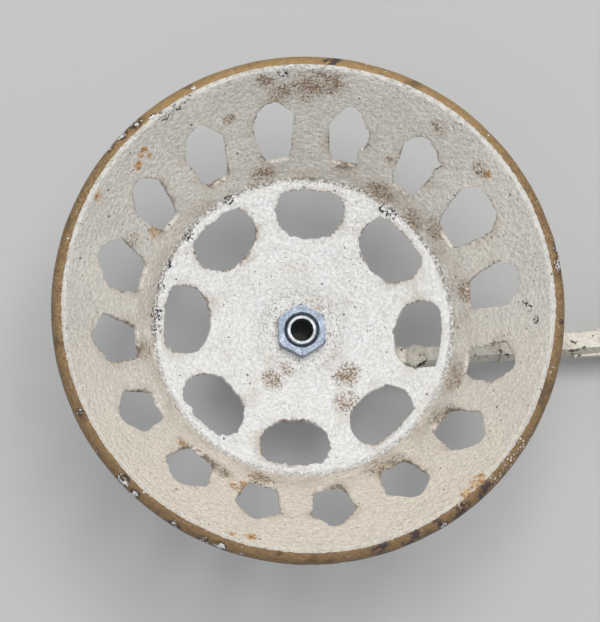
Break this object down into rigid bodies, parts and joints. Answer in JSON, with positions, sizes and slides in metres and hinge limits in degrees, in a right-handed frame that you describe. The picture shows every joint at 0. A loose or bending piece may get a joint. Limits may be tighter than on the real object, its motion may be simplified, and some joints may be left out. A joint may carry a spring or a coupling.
{
  "type": "pottery wheel",
  "caption": "Cup-shaped pottery wheel head with cut windows, spinning on a hollow ball-bearing spindle at the end of a folding side arm with a split post clamp",
  "frame": {"origin": "centre of the top end of the hollow spindle, on the wheel's spin axis", "axes": "+Z is the spin axis, out of the wheel's mouth; +X runs out along the arm towards the post clamp; +Y completes a right-handed frame"},
  "size_m": [0.461, 0.3, 0.21],
  "materials": {
    "cream_paint": "old cream paint over rough cast metal, worn to brown at the rim",
    "zinc_plate": "dull bluish zinc plating",
    "bright_steel": "bright turned steel",
    "bearing_steel": "ground bearing steel",
    "brass": "plain brass and bronze",
    "fibre": "red-brown pressed fibre"
  },
  "bodies": {
    "arm": {"swing_arm": "cream_paint", "pivot_bolt": "cream_paint", "pivot_washer": "zinc_plate", "pivot_locknut": "zinc_plate", "outer_arm": "cream_paint", "arm_rivets": "cream_paint", "clamp_cap": "cream_paint", "clamp_bolts": "zinc_plate", "clamp_washers": "zinc_plate", "clamp_nuts": "zinc_plate"},
    "bearing_head": {"bearing_housing": "cream_paint", "upper_outer_ring": "bearing_steel", "lower_outer_ring": "bearing_steel", "upper_bearing_balls": "bearing_steel", "lower_bearing_balls": "bearing_steel", "dust_cover": "cream_paint", "cover_screws": "zinc_plate", "bearing_circlip": "bearing_steel", "grease_nipple": "brass", "head_bracket": "cream_paint", "housing_bolts": "zinc_plate", "housing_nuts": "zinc_plate", "pivot_bushing": "brass"},
    "wheel": {"wheel_cup": "cream_paint", "wheel_locknut": "zinc_plate", "fibre_washer": "fibre", "spindle": "bright_steel", "upper_inner_ring": "bearing_steel", "lower_inner_ring": "bearing_steel", "bearing_spacer": "bearing_steel", "tab_washer": "bearing_steel", "spindle_ring_nut": "bearing_steel"}
  },
  "joints": [
    {"name": "arm_fold", "type": "hinge", "parent": "arm", "child": "bearing_head", "pos_m": [0.08093, -0.00965, -0.063], "axis": [0, 0, 1], "range_deg": [-110, 110]},
    {"name": "wheel_spin", "type": "hinge", "parent": "bearing_head", "child": "wheel", "pos_m": [0, 0, -0.045], "axis": [0, 0, 1], "continuous": true}
  ]
}
